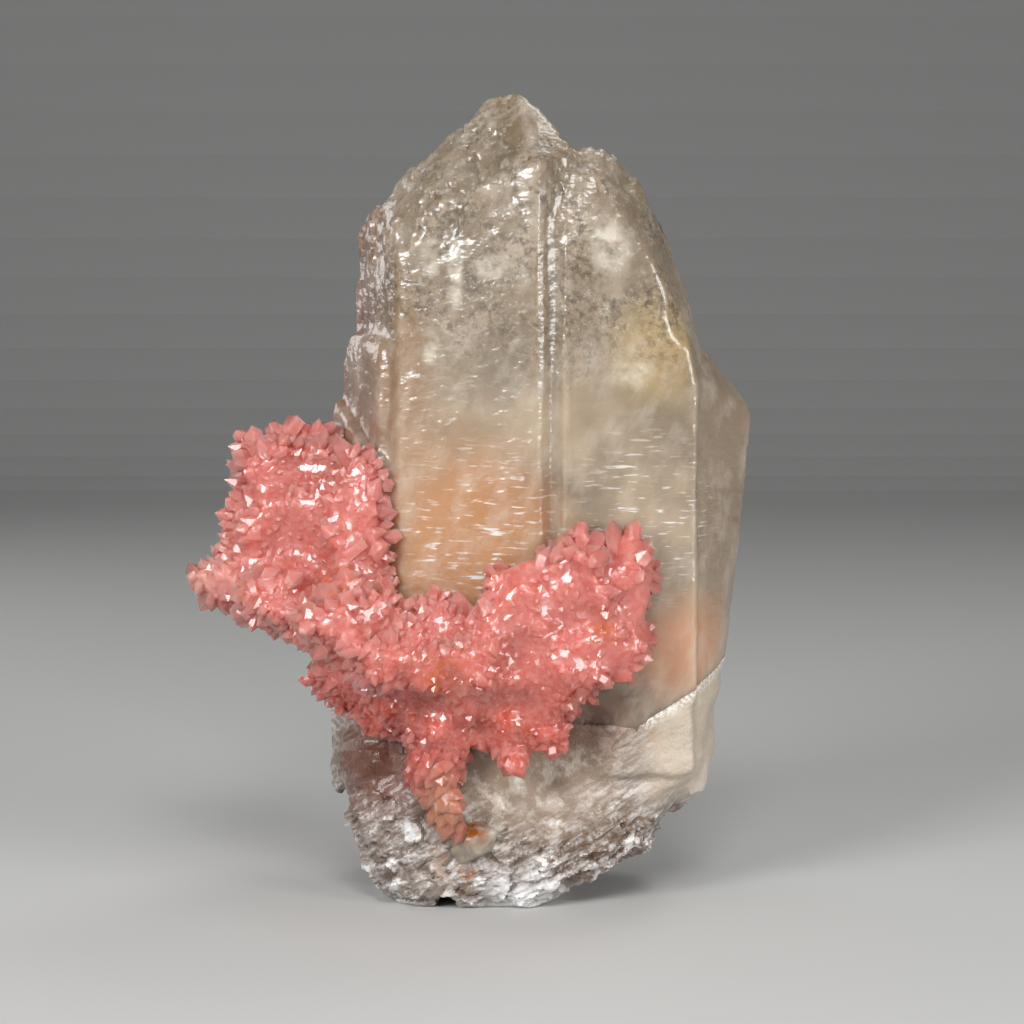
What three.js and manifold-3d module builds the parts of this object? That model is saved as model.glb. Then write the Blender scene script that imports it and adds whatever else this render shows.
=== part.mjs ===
// A rose quartz specimen: a large pale quartz crystal standing on its own milky, broken root, with a belt
// of small pink quartz crystals grown round its lower half, and one stubby clear crystal at its foot.
// Millimetres, +Z up, the broad face of the large crystal towards -Y, the origin under the middle of the
// specimen on the surface that it stands on.

import * as THREE from "three";
import { ConvexGeometry } from "three/addons/geometries/ConvexGeometry.js";
import { mergeVertices } from "three/addons/utils/BufferGeometryUtils.js";
import Module from "manifold-3d";

const wasm = await Module();
wasm.setup();

// Driving dimensions
const HEIGHT = 163.9; // foot to highest tip
const ROOT_TOP = 38; // where the clear crystal leaves its milky root
const LEFT_FOOT = 20; // how far down the flat walls can be traced on the left
const RIGHT_FOOT = 27; // and on the right
const CONTACT_BEND = 34.8; // X from which that contact climbs to the right
const CONTACT_RISE = 0.61; // climb of the contact per mm of X
const GAP = 0.3; // free gap left between two neighbouring solids
const BODY_DEPTH = 25; // half the thickness of the large crystal, front to back

// Colours and finishes of the four kinds of quartz
const PALE_QUARTZ = { color: 0xc9bba9, roughness: 0.25, metalness: 0 };
const PINK_QUARTZ = { color: 0xe58a86, roughness: 0.3, metalness: 0 };
const MILKY_QUARTZ = { color: 0xd8d0c8, roughness: 0.6, metalness: 0 };
const CLEAR_QUARTZ = { color: 0xd9cfc0, roughness: 0.2, metalness: 0 };

// A seeded stream of numbers from 0 to 1, the same on every run
function seeded(seed) {
  let state = seed;
  return () => {
    state = (state * 1664525 + 1013904223) % 4294967296;
    return state / 4294967296;
  };
}

// A surface made of triangles to a solid with shared corners
function solidFrom(geometry) {
  const bare = new THREE.BufferGeometry().setAttribute("position", geometry.getAttribute("position"));
  if (geometry.index) bare.setIndex(geometry.index);
  const merged = mergeVertices(bare, 1e-4);
  const corners = merged.index.array;
  const kept = [];
  for (let i = 0; i < corners.length; i += 3) {
    const [a, b, c] = corners.slice(i, i + 3);
    if (a !== b && b !== c && c !== a) kept.push(a, b, c);
  }
  return new wasm.Manifold(
    new wasm.Mesh({
      numProp: 3,
      vertProperties: merged.attributes.position.array,
      triVerts: new Uint32Array(kept),
    }),
  );
}

// The smallest convex solid round a list of [x, y, z] points
function hull(points) {
  return solidFrom(new ConvexGeometry(points.map((p) => new THREE.Vector3(...p))));
}

function joined(solids) {
  return solids.reduce((all, next) => all.add(next));
}

// A cut can leave loose crumbs: the largest piece is the specimen
function largest(solid) {
  return solid.decompose().reduce((best, next) => (next.volume() > best.volume() ? next : best));
}

// The solid grown by about the gap, away from its own middle, to cut its neighbour with
function swollen(solid, gap) {
  const { min, max } = solid.boundingBox();
  const middle = min.map((low, i) => (low + max[i]) / 2);
  const growth = min.map((low, i) => 1 + (4 * gap) / (max[i] - low));
  return solid
    .translate(middle.map((m) => -m))
    .scale(growth)
    .translate(middle);
}

function meshFrom(name, solid, finish) {
  const { numProp, vertProperties, triVerts } = solid.getMesh();
  const geometry = new THREE.BufferGeometry();
  const positions = new THREE.InterleavedBuffer(vertProperties, numProp);
  geometry.setAttribute("position", new THREE.InterleavedBufferAttribute(positions, 3, 0));
  geometry.setIndex(new THREE.BufferAttribute(triVerts, 1));
  const flat = geometry.toNonIndexed();
  flat.computeVertexNormals();
  const mesh = new THREE.Mesh(flat, new THREE.MeshStandardMaterial({ ...finish, flatShading: true }));
  mesh.name = name;
  return mesh;
}

// The large crystal. It grew as several upright blocks side by side, each a prism with flat walls and a
// steep, lopsided point, so their shared surface has ledges, a groove and a second shoulder.
function prismBlock({ foot, corners, tips }) {
  const standing = corners.flatMap(([x, y, shoulder]) => [
    [x, y, foot],
    [x, y, shoulder],
  ]);
  return hull([...standing, ...tips]);
}

function tallBlock() {
  return prismBlock({
    foot: LEFT_FOOT,
    corners: [
      [-22.8, 4, 134.6],
      [-13.4, -18.6, 137],
      [14.6, -BODY_DEPTH, 149],
      [22.4, -18, 151.5],
      [19, 17, 142],
      [-7, BODY_DEPTH - 2, 129],
    ],
    tips: [
      [-20.6, 0, 138.6],
      [-17, -2, 143],
      [-12, -4, 147.8],
      [5, -8, 163.2],
      [8.6, -9, HEIGHT],
      [11.2, -10, HEIGHT],
      [13.6, -11, 161.6],
      [16.8, -12, 158.4],
    ],
  });
}

// Two lower growth layers on the left, each standing a little proud of the one above
function leftLayers() {
  const middleLayer = prismBlock({
    foot: LEFT_FOOT,
    corners: [
      [-25.4, 4, 109],
      [-17.4, -15.4, 112],
      [-6, -18, 104],
      [2, 10, 112],
      [-4, 20, 104],
      [-14, 21.4, 99],
    ],
    tips: [
      [-24, 2, 114.8],
      [-13, -14, 118],
    ],
  });
  const lowerLayer = prismBlock({
    foot: LEFT_FOOT,
    corners: [
      [-28.4, 4, 95],
      [-20.6, -15.4, 93],
      [-8, -20, 84],
      [2, 12, 92],
      [-6, 23.4, 84],
      [-17, 22, 82],
    ],
    tips: [[-27, 3, 101.6]],
  });
  return [middleLayer, lowerLayer];
}

// A low parallel growth on the back, with a slanting top of its own
function backLayer() {
  return prismBlock({
    foot: LEFT_FOOT,
    corners: [
      [0, 18, 102],
      [8, 27.4, 96],
      [27, 25, 108],
      [35, 13, 117],
      [14, 8, 118],
    ],
    tips: [[22, 22, 113]],
  });
}

function rightBlock() {
  return prismBlock({
    foot: RIGHT_FOOT,
    corners: [
      [16.6, -19.4, 147],
      [19.5, -23.6, 134],
      [46.4, -20.2, 104.8],
      [47.4, -8, 113],
      [40, 17, 118],
      [21, 21, 134],
    ],
    tips: [
      [23.6, -14, 153.8],
      [27.4, -14, 153.2],
      [26.2, -20.6, 147],
      [33, -21.2, 136.4],
      [37.8, -21.4, 128.8],
      [44.6, -20.4, 112.8],
      [31.6, -12, 149.9],
      [35.2, -11, 145.9],
      [40.2, -9, 136],
      [42.4, -8, 129],
      [45.2, -8, 122.6],
    ],
  });
}

// The low shoulder on the right, with the blunt corner that is the widest point of the large crystal
function rightShoulder() {
  return hull([
    [47.2, -17, 106],
    [40, -10, 112],
    [47.8, -16.4, 60],
    [47.4, -15, RIGHT_FOOT],
    [48.5, -6, 112.4],
    [51.3, -5, 108.8],
    [56.8, -4, 102],
    [58.2, -3.5, 99],
    [58.3, -3, 95.8],
    [56.8, -3, 90],
    [55.4, -3, 66],
    [52.8, -3, 50],
    [51, -3, RIGHT_FOOT],
    [50, 11, 94],
    [46, 10, RIGHT_FOOT],
    [36, 10, 112],
    [34, 10, RIGHT_FOOT],
    [34, -10, RIGHT_FOOT],
  ]);
}

// The notch between the two points, and the slit that runs down from it
function crownNotch() {
  const notch = hull([
    [20.8, -30, 156],
    [24.6, -30, 156],
    [22.4, -30, 149.5],
    [20.4, 0, 157],
    [25, 0, 157],
    [22.6, -8, 151.5],
  ]);
  const slit = hull([
    [17, -30, 140],
    [19.2, -30, 141],
    [16, -30, 104],
    [15.2, -30, 104],
    [17.6, -22.5, 139],
    [16.2, -23.6, 106],
  ]);
  return notch.add(slit);
}

// Shallow shell-shaped chips where the crown was struck
function crownChips() {
  const chips = [
    { at: [0, -25, 153], size: [10, 10, 10] },
    { at: [-14, -27, 139], size: [8, 11, 13] },
    { at: [45, -28, 121], size: [7, 11, 12] },
  ];
  return joined(
    chips.map(({ at, size }) => {
      const shell = new THREE.IcosahedronGeometry(1, 1).scale(...size).translate(...at);
      return solidFrom(shell);
    }),
  );
}

// All the space above the contact with the milky root, lowered by drop
const FAR = 90; // well outside the specimen
function aboveContact(drop) {
  const low = ROOT_TOP - drop;
  const farRise = low + CONTACT_RISE * (FAR - CONTACT_BEND);
  return hull(
    [-FAR, FAR].flatMap((y) => [
      [-FAR, y, low],
      [CONTACT_BEND, y, low],
      [FAR, y, farRise],
      [FAR, y, 2 * HEIGHT],
      [-FAR, y, 2 * HEIGHT],
    ]),
  );
}

const growthBlocks = [tallBlock(), ...leftLayers(), backLayer(), rightBlock(), rightShoulder()];

function largeCrystal() {
  const grown = joined(growthBlocks);
  return largest(grown.subtract(crownNotch()).subtract(crownChips()).intersect(aboveContact(0)));
}

// The large crystal's room, gap included: each convex block swells by itself, so that no face lags
function largeCrystalRoom() {
  return joined(growthBlocks.map((block) => swollen(block, GAP)));
}

// The milky root: the opaque lower end of the large crystal. Its upper part still has the crystal's flat
// walls. Below them it was broken off rough, and that break is followed ring by ring, each ring a
// many-cornered, uneven oval.
const ROOT_RINGS = [
  { z: 0, left: -17.4, right: 20.6, front: -20, back: 16 },
  { z: 2.6, left: -19.6, right: 23.4, front: -23, back: 19 },
  { z: 6.3, left: -22.6, right: 32.4, front: -24, back: 21.5 },
  { z: 11.6, left: -24, right: 39.4, front: -24.4, back: 23 },
  { z: 17, left: -25, right: 43.6, front: -23.4, back: 23.4 },
  { z: 22.4, left: -27, right: 47.4, front: -22, back: 23 },
  { z: 27.6, left: -26.8, right: 51, front: -20, back: 20 },
  { z: 34, left: -22, right: 46, front: -15, back: 15 },
];
const RING_CORNERS = 16;
const RING_SQUARENESS = 0.62; // 1 is an ellipse, lower is closer to a rectangle
const RING_UNEVENNESS = 0.05; // share of a ring's half width
const RING_WAVINESS = 1.6; // how far a ring's corners rise and fall
const SOLE_MIDDLE = [1.5, -2, 0];
const CORE_TOP = [12, 2]; // X and Y of the middle of the highest ring

function rootOutline() {
  const random = seeded(7);
  const corners = [];
  for (const { z, left, right, front, back } of ROOT_RINGS) {
    const isSole = z === 0;
    for (let i = 0; i < RING_CORNERS; i++) {
      const angle = (2 * Math.PI * i) / RING_CORNERS;
      const squared = (v) => Math.sign(v) * Math.abs(v) ** RING_SQUARENESS;
      const uneven = 1 - RING_UNEVENNESS * random();
      const halfWidth = (right - left) / 2;
      const halfDepth = (back - front) / 2;
      corners.push([
        (left + right) / 2 + halfWidth * uneven * squared(Math.cos(angle)),
        (front + back) / 2 + halfDepth * uneven * squared(Math.sin(angle)),
        isSole ? 0 : z + (random() - 0.5) * RING_WAVINESS,
      ]);
    }
  }
  const last = ROOT_RINGS.length - 1;
  const [sole, top] = [corners.length, corners.length + 1];
  corners.push(SOLE_MIDDLE, [...CORE_TOP, ROOT_RINGS[last].z]);
  const faces = [];
  for (let ring = 0; ring < last; ring++) {
    for (let i = 0; i < RING_CORNERS; i++) {
      const next = (i + 1) % RING_CORNERS;
      const [a, b] = [ring * RING_CORNERS + i, ring * RING_CORNERS + next];
      const [c, d] = [a + RING_CORNERS, b + RING_CORNERS];
      faces.push(a, b, d, a, d, c);
    }
  }
  for (let i = 0; i < RING_CORNERS; i++) {
    const next = (i + 1) % RING_CORNERS;
    faces.push(sole, next, i);
    faces.push(top, last * RING_CORNERS + i, last * RING_CORNERS + next);
  }
  const geometry = new THREE.BufferGeometry();
  geometry.setAttribute("position", new THREE.Float32BufferAttribute(corners.flat(), 3));
  geometry.setIndex(faces);
  return solidFrom(geometry);
}

// An angular lump of broken quartz, turned by tilt degrees in the plane of the broad face
const GOLDEN_TURN = Math.PI * (3 - Math.sqrt(5)); // spreads points evenly over a ball
const LUMP_REACH = [0.86, 1]; // how near its corners come to the half sizes
function lump({ at, size, seed, corners = 16, tilt = 0 }) {
  const random = seeded(seed);
  const [cos, sin] = [Math.cos((tilt * Math.PI) / 180), Math.sin((tilt * Math.PI) / 180)];
  const points = [];
  for (let i = 0; i < corners; i++) {
    const height = 1 - (2 * (i + 0.5)) / corners;
    const turn = i * GOLDEN_TURN + random() * 0.8;
    const ring = Math.sqrt(1 - height * height);
    const reach = THREE.MathUtils.lerp(...LUMP_REACH, random());
    const along = size[0] * reach * ring * Math.cos(turn);
    const across = size[2] * reach * height;
    points.push([
      at[0] + along * cos - across * sin,
      at[1] + size[1] * reach * ring * Math.sin(turn),
      at[2] + along * sin + across * cos,
    ]);
  }
  return hull(points);
}

function rootLumps() {
  return joined([
    lump({ at: [-17.4, -10, 30], size: [9.8, 9.5, 11], seed: 11 }),
    lump({ at: [-16, -11, 18], size: [9.4, 11, 10], seed: 21 }),
    lump({ at: [-13, -11, 8], size: [9, 11, 9.5], seed: 12 }),
    lump({ at: [12, -17, 7], size: [11, 8.5, 9], seed: 14 }),
    lump({ at: [4, 15, 11], size: [14, 10, 11], seed: 16 }),
    lump({ at: [31, 12, 19], size: [14, 11, 12], seed: 17 }),
    lump({ at: [-13, 14, 20], size: [12, 11, 14], seed: 18 }),
    lump({ at: [42, -4, 25], size: [9.4, 13, 9], seed: 19 }),
    lump({ at: [31, -6, 14], size: [11, 15, 9], seed: 20 }),
  ]);
}

// The splintery layers that the break left along the lower right, each a slab climbing to the right
const SPLINTERS = 6;
const SPLINTER_CLIMB = 34; // degrees
function rootSplinters() {
  const random = seeded(77);
  const slabs = [];
  for (let i = 0; i < SPLINTERS; i++) {
    const along = i / (SPLINTERS - 1);
    slabs.push(
      lump({
        at: [10 + 32 * along, -18.5 + 5 * along, 8 + 18 * along],
        size: [10 + 3 * random(), 6.5, 3.6 + random()],
        seed: 41 + i,
        corners: 12,
        tilt: SPLINTER_CLIMB + 14 * (random() - 0.5),
      }),
    );
  }
  return joined(slabs);
}

// Under the foot the break arches up between the left foot and the front one
function soleArch() {
  return hull([
    [-9, -40, -3],
    [0.5, -40, -3],
    [-2, -40, 4.6],
    [-7, -40, 4],
    [-6, -6, -3],
    [-1, -6, -3],
    [-3.4, -8, 1.5],
  ]);
}

// The smooth hollow where a piece of the front broke away, left of the upright step
const STEP_X = 34.4;
function frontHollow() {
  const bowl = new THREE.IcosahedronGeometry(1, 2).scale(16.5, 12, 17).translate(18.5, -29.5, 31);
  const behindBelt = new THREE.IcosahedronGeometry(1, 1).scale(9, 8, 12).translate(3, -28, 26);
  const rightOfStep = hull(
    [-FAR, 0].flatMap((y) => [
      [STEP_X, y, -FAR],
      [STEP_X, y, FAR],
      [FAR, y, FAR],
      [FAR, y, -FAR],
    ]),
  );
  return joined([solidFrom(bowl), solidFrom(behindBelt)]).subtract(rightOfStep);
}

function milkyRoot() {
  const underFloor = hull(
    [-FAR, FAR].flatMap((x) => [
      [x, -FAR, 0],
      [x, FAR, 0],
      [x, -FAR, -FAR],
      [x, FAR, -FAR],
    ]),
  );
  return largest(
    joined([rootOutline(), rootLumps(), rootSplinters(), ...growthBlocks])
      .subtract(frontHollow())
      .subtract(soleArch())
      .subtract(underFloor)
      .subtract(aboveContact(GAP)),
  );
}

// One quartz crystal with six sides and a lopsided point, standing on base and leaning along way
const POINT_STEEPNESS = 0.62; // height of the point per mm of width
const POINT_LEAN = 0.35; // how far the point may sit off the middle, per mm of width
const FOOT_TAPER = 0.85; // width at the foot to width at the shoulder
function sixSided({ base, way, width, length, random }) {
  const upright = new THREE.Vector3(...way).normalize();
  const turn = new THREE.Quaternion().setFromUnitVectors(new THREE.Vector3(0, 0, 1), upright);
  const twist = random() * Math.PI;
  const shoulder = length - POINT_STEEPNESS * width;
  const lean = () => (random() - 0.5) * POINT_LEAN * width;
  const local = [[lean(), lean(), length]];
  for (let i = 0; i < 6; i++) {
    const angle = twist + (i * Math.PI) / 3;
    const reach = (width / 2) * (0.85 + 0.3 * random());
    const [x, y] = [reach * Math.cos(angle), reach * Math.sin(angle)];
    local.push([FOOT_TAPER * x, FOOT_TAPER * y, 0], [x, y, shoulder]);
  }
  const placed = local.map((p) => new THREE.Vector3(...p).applyQuaternion(turn));
  return hull(placed.map(({ x, y, z }) => [x + base[0], y + base[1], z + base[2]]));
}

// The pink belt: lobes of tightly packed crystals, each given as its middle and half sizes
const BELT_LOBES = [
  // the fan that stands off the left edge
  { at: [-38.2, -7, 87.4], size: [10.2, 9.5, 9.8] },
  { at: [-30, -6, 89], size: [8, 10, 8.4] },
  { at: [-40, -8, 76], size: [9.4, 11, 10.4] },
  { at: [-45, -8.6, 73], size: [5.4, 7, 5] },
  // the shelf that juts out to the left and forwards
  { at: [-48, -11, 65.6], size: [9, 9.5, 5.4] },
  { at: [-36, -16, 63.4], size: [13, 14, 7.6] },
  { at: [-22, -17, 74], size: [9.5, 10, 13] },
  { at: [-20.4, -16.5, 83], size: [7.6, 8, 12] },
  { at: [-30.4, -13.4, 79.6], size: [8.4, 8.4, 10.4] },
  { at: [-24, -25, 59.6], size: [13.5, 13, 8.4] },
  { at: [-13, -29, 52.5], size: [13.5, 12, 8.4] },
  // the rounded lobe in the middle
  { at: [2, -31, 51.5], size: [9.8, 10.6, 10.2] },
  { at: [-5.4, -27, 60.2], size: [6.8, 7, 6.2] },
  // the arm that climbs to the right
  { at: [11, -28, 61.8], size: [9.8, 8.8, 9.4] },
  { at: [22, -27, 66], size: [10.4, 8.8, 10.4] },
  { at: [32, -25.6, 68.6], size: [6.4, 7, 8.4] },
  { at: [28.6, -26.4, 56], size: [8.4, 8.4, 9.4] },
  { at: [18, -28, 50.5], size: [12, 9.4, 9] },
  // the recessed crust under the shelf
  { at: [-24, -14, 47], size: [8, 12, 7.4] },
  { at: [-14, -20, 41.5], size: [10, 10, 8] },
  { at: [-4.5, -24, 38], size: [8.6, 8.6, 9] },
  { at: [7.5, -25.6, 41], size: [10, 8.2, 7.8] },
  { at: [15.6, -26.2, 38.6], size: [5.4, 6.4, 5.6] },
  // the hanging stalk and spur
  { at: [-4.4, -25, 29.6], size: [5.8, 5.8, 8.6] },
  { at: [-3.8, -26, 20.6], size: [5, 4.6, 6.4] },
  { at: [-9.8, -22.6, 28], size: [3.6, 4.4, 5.4] },
  { at: [9.4, -28, 33], size: [3.6, 4.4, 5.6] },
  // where the belt passes the left edge and fades out across the back
  { at: [-30, 5, 72], size: [8.4, 12, 11.4] },
  { at: [-28, 2, 57], size: [9, 14, 10] },
  { at: [-27, 14, 62], size: [8, 10.4, 9.6] },
  { at: [-17, 24.4, 60], size: [12, 8.4, 9] },
  { at: [-4, 27.6, 55], size: [12, 7.4, 7.6] },
  { at: [8, 30, 51], size: [8, 6, 5.6] },
];

const LOBE_CORNERS = 14;
const CRYSTAL_WIDTH = 5.2; // typical belt crystal, across
const CRYSTAL_LENGTH = 6.4; // foot to tip
const CRYSTAL_SINK = 0.6; // share of the length that is rooted in its lobe
const CRYSTAL_SPACING = 7.9; // between the feet of two neighbours
const BACK_SPACING = 12; // the same behind the left edge, where the belt thins out
const CRYSTAL_SCATTER = 0.5; // how much a crystal leans from its lobe's outward direction

// Crystals stand all over each lobe, except where another lobe or the large crystal covers them
function beltCrystals(covering) {
  const random = seeded(31);
  const feet = [];
  const grown = [];
  const inLobe = ({ x, y, z }, { at, size }) =>
    ((x - at[0]) / size[0]) ** 2 + ((y - at[1]) / size[1]) ** 2 + ((z - at[2]) / size[2]) ** 2 < 0.95;
  const tooNear = (foot) => {
    const spacing = foot.y > 0 ? BACK_SPACING : CRYSTAL_SPACING;
    return feet.some((other) => other.distanceTo(foot) < spacing);
  };
  BELT_LOBES.forEach((lobe, own) => {
    const [middle, half] = [new THREE.Vector3(...lobe.at), new THREE.Vector3(...lobe.size)];
    const tries = Math.round((3 * half.lengthSq()) / CRYSTAL_SPACING);
    for (let i = 0; i < tries; i++) {
      const height = 1 - (2 * (i + 0.5)) / tries;
      const turn = i * GOLDEN_TURN;
      const ring = Math.sqrt(1 - height * height);
      const outward = new THREE.Vector3(ring * Math.cos(turn), ring * Math.sin(turn), height);
      const foot = outward.clone().multiply(half).add(middle);
      const hidden = BELT_LOBES.some((other, j) => j !== own && inLobe(foot, other));
      if (hidden || tooNear(foot) || covering(foot)) continue;
      feet.push(foot);
      const jitter = new THREE.Vector3(random() - 0.5, random() - 0.5, random() - 0.5);
      const way = outward.divide(half).normalize().addScaledVector(jitter, CRYSTAL_SCATTER).normalize();
      const length = CRYSTAL_LENGTH * (0.75 + 0.6 * random());
      const width = CRYSTAL_WIDTH * (0.75 + 0.5 * random());
      const base = foot.clone().addScaledVector(way, -length * CRYSTAL_SINK);
      grown.push(sixSided({ base: base.toArray(), way: way.toArray(), width, length, random }));
    }
  });
  return grown;
}

function pinkBelt(root) {
  const inLarge = ({ x, y, z }) => x > -23 && x < 52 && y > -20 && y < 22 && z > ROOT_TOP;
  const inRoot = ({ x, y, z }) => x > -24 && y > -20 && y < 22 && z <= ROOT_TOP;
  const lobes = BELT_LOBES.map(({ at, size }, i) => lump({ at, size, seed: 101 + i, corners: LOBE_CORNERS }));
  const belt = joined([...lobes, ...beltCrystals((foot) => inLarge(foot) || inRoot(foot))]);
  return largest(belt.subtract(largeCrystalRoom()).subtract(swollen(root, GAP)));
}

// The stubby clear crystal that leans out of the root beside the hanging stalk
function footCrystal() {
  return sixSided({
    base: [-0.6, -19.4, 11.6],
    way: [0.6, -0.55, 0.55],
    width: 8.6,
    length: 11.5,
    random: seeded(5),
  });
}

const clearFoot = footCrystal();
const pale = largeCrystal();
const milky = largest(milkyRoot().subtract(swollen(clearFoot, GAP)));
const pink = largest(pinkBelt(milky).subtract(swollen(clearFoot, GAP)));

const specimen = new THREE.Group();
specimen.add(meshFrom("large_quartz_crystal", pale, PALE_QUARTZ));
specimen.add(meshFrom("milky_quartz_root", milky, MILKY_QUARTZ));
specimen.add(meshFrom("rose_quartz_belt", pink, PINK_QUARTZ));
specimen.add(meshFrom("small_clear_crystal", clearFoot, CLEAR_QUARTZ));

// The origin is the middle of the specimen's outline, on the surface that it stands on
const outline = new THREE.Box3().setFromObject(specimen);
const centre = outline.getCenter(new THREE.Vector3());
specimen.position.set(-centre.x, -centre.y, -outline.min.z);

export default specimen;
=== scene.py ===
import math
import random

import bmesh
import bpy
from mathutils import Matrix, Vector, noise
from mathutils.bvhtree import BVHTree


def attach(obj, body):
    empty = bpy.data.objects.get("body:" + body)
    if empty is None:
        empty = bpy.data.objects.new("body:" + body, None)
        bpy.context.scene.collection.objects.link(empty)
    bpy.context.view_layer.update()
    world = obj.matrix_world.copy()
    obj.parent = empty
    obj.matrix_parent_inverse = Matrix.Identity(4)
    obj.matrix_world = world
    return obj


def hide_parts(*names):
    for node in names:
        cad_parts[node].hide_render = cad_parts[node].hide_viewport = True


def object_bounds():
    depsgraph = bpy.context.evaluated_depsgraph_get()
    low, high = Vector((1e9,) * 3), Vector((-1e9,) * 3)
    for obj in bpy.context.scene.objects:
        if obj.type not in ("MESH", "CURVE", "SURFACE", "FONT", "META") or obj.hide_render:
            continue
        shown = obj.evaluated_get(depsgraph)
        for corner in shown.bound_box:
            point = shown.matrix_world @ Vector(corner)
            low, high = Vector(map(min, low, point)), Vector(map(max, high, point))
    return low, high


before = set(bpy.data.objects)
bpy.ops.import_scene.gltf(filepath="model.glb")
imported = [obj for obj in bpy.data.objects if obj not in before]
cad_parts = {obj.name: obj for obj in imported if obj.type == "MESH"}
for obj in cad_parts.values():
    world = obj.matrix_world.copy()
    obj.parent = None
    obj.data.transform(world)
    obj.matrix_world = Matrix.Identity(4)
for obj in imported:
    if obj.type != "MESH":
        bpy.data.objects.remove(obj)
cad_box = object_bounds()

# The large crystal: one body of pale quartz that grew as several upright blocks side by side. It is milky
# with trapped fluid, and thin healed cracks hang inside it. Level growth lines cross its walls, its left
# ridge is lumpy, and its crown broke off hackly.
MM = 0.001
SEWN = 0.005 * MM  # corners of a CAD solid that are closer than this are one
QUARTZ_IOR = 1.544
CRYSTAL_SQUARE = 0.66 * MM  # side of the small squares that carry the relief
LEDGE_HEIGHT = 0.2  # mm, of the level growth ledges
GROOVE_PITCH = 1.1  # of the upright grooves between the two front faces
GROOVE_DEPTH = 0.14
RIDGE_BUMP = 0.3
CROWN_CHIP = 1.5
VEIL_LEAN = math.radians(-24)  # of the thin cloudy veils inside, to the right of upright
CRYSTAL_WEAR = 12  # turns of smoothing that round its most worn edges
OVERLAP = 2.2 * MM  # how far it runs down into its root
CONTACT_TOP = 54 * MM  # all of its contact with the root lies below this
HOLLOWS = [
    # middle and reach in mm of the scoops that the hollow in front is made of
    ((18.6, -25.8, 31), (17.2, 12.6, 17.6)),
    ((3.1, -24.3, 26), (9.6, 8.6, 12.6)),
]
HOLLOW_FADES = (37, 45)  # mm, from where to where the hollow fades out under the belt
FRONT = -8  # mm, the front walls lie before this


def colour(code):
    """An sRGB hex colour as the linear RGBA that a shader takes."""
    parts = [int(code[i : i + 2], 16) / 255 for i in (1, 3, 5)]
    return [*(p / 12.92 if p <= 0.04045 else ((p + 0.055) / 1.055) ** 2.4 for p in parts), 1]


def add_node(material, kind, inputs, **settings):
    """A shader node with its settings; each input is a value, or the socket that feeds it."""
    node = material.node_tree.nodes.new(kind)
    for name, value in settings.items():
        setattr(node, name, value)
    for name, value in inputs.items():
        if isinstance(value, bpy.types.NodeSocket):
            material.node_tree.links.new(value, node.inputs[name])
        else:
            node.inputs[name].default_value = value
    return node


def new_material(name):
    """An empty node material, its Principled shader and its Object coordinates."""
    material = bpy.data.materials.new(name)
    material.use_nodes = True
    shader = material.node_tree.nodes["Principled BSDF"]
    place = add_node(material, "ShaderNodeTexCoord", {}).outputs["Object"]
    return material, shader, place


def noise_between(material, place, size, low, high, detail=4.0, roughness=0.55, stretch=(1, 1, 1)):
    """Noise of one size in mm, longer by stretch along each axis, as 0 below low and 1 above high."""
    scale = [1 / (size * MM * s) for s in stretch]
    spread = add_node(material, "ShaderNodeMapping", {"Vector": place, "Scale": scale})
    grain = add_node(
        material,
        "ShaderNodeTexNoise",
        {"Vector": spread.outputs[0], "Scale": 1.0, "Detail": detail, "Roughness": roughness},
    )
    return add_node(
        material,
        "ShaderNodeMapRange",
        {"Value": grain.outputs["Fac"], "From Min": low, "From Max": high},
    ).outputs[0]


def spot(material, place, centre, reach):
    """1 at centre, fading to 0 at reach, both in mm along X, Y and Z."""
    scale = [1 / (r * MM) for r in reach]
    away = [-c / r for c, r in zip(centre, reach)]
    moved = add_node(material, "ShaderNodeMapping", {"Vector": place, "Scale": scale, "Location": away})
    far = add_node(material, "ShaderNodeVectorMath", {0: moved.outputs[0]}, operation="LENGTH")
    return add_node(
        material,
        "ShaderNodeMapRange",
        {"Value": far.outputs["Value"], "From Min": 1.0, "From Max": 0.25},
        interpolation_type="SMOOTHSTEP",
    ).outputs[0]


def overlaid(material, tone, code, *shares):
    """The tone with a hex colour laid over it as strongly as the product of the shares."""
    strength = shares[0]
    for share in shares[1:]:
        strength = add_node(
            material, "ShaderNodeMath", {0: strength, 1: share}, operation="MULTIPLY", use_clamp=True
        ).outputs[0]
    return add_node(
        material, "ShaderNodeMix", {0: strength, 6: tone, 7: colour(code)}, data_type="RGBA"
    ).outputs[2]


def ramp(value, start, end):
    """0 at start, 1 at end and smooth between."""
    share = min(max((value - start) / (end - start), 0), 1)
    return share * share * (3 - 2 * share)


def solid_copy(node):
    """A CAD solid's surface, its loose triangles sewn together."""
    shape = bmesh.new()
    shape.from_mesh(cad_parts[node].data)
    bmesh.ops.remove_doubles(shape, verts=shape.verts, dist=SEWN)
    return shape


def in_even_squares(shape, square):
    """The same surface in even squares, fine enough to carry relief."""
    mesh = bpy.data.meshes.new("plain")
    shape.to_mesh(mesh)
    shape.free()
    carrier = bpy.data.objects.new("plain", mesh)
    bpy.context.scene.collection.objects.link(carrier)
    squares = carrier.modifiers.new("Even squares", "REMESH")
    squares.mode = "VOXEL"
    squares.voxel_size = square
    even = carrier.evaluated_get(bpy.context.evaluated_depsgraph_get())
    fine = bmesh.new()
    fine.from_mesh(even.to_mesh())
    even.to_mesh_clear()
    bpy.data.objects.remove(carrier)
    return fine


def give_relief(shape, height):
    """Moves each vertex along its normal by height(place in mm, normal), never out of the CAD box."""
    shape.normal_update()
    low, high = cad_box
    moves = [vert.normal * height(vert.co / MM, vert.normal) * MM for vert in shape.verts]
    for vert, move in zip(shape.verts, moves):
        vert.co = [min(max(c + m, a), b) for c, m, a, b in zip(vert.co, move, low, high)]


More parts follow.
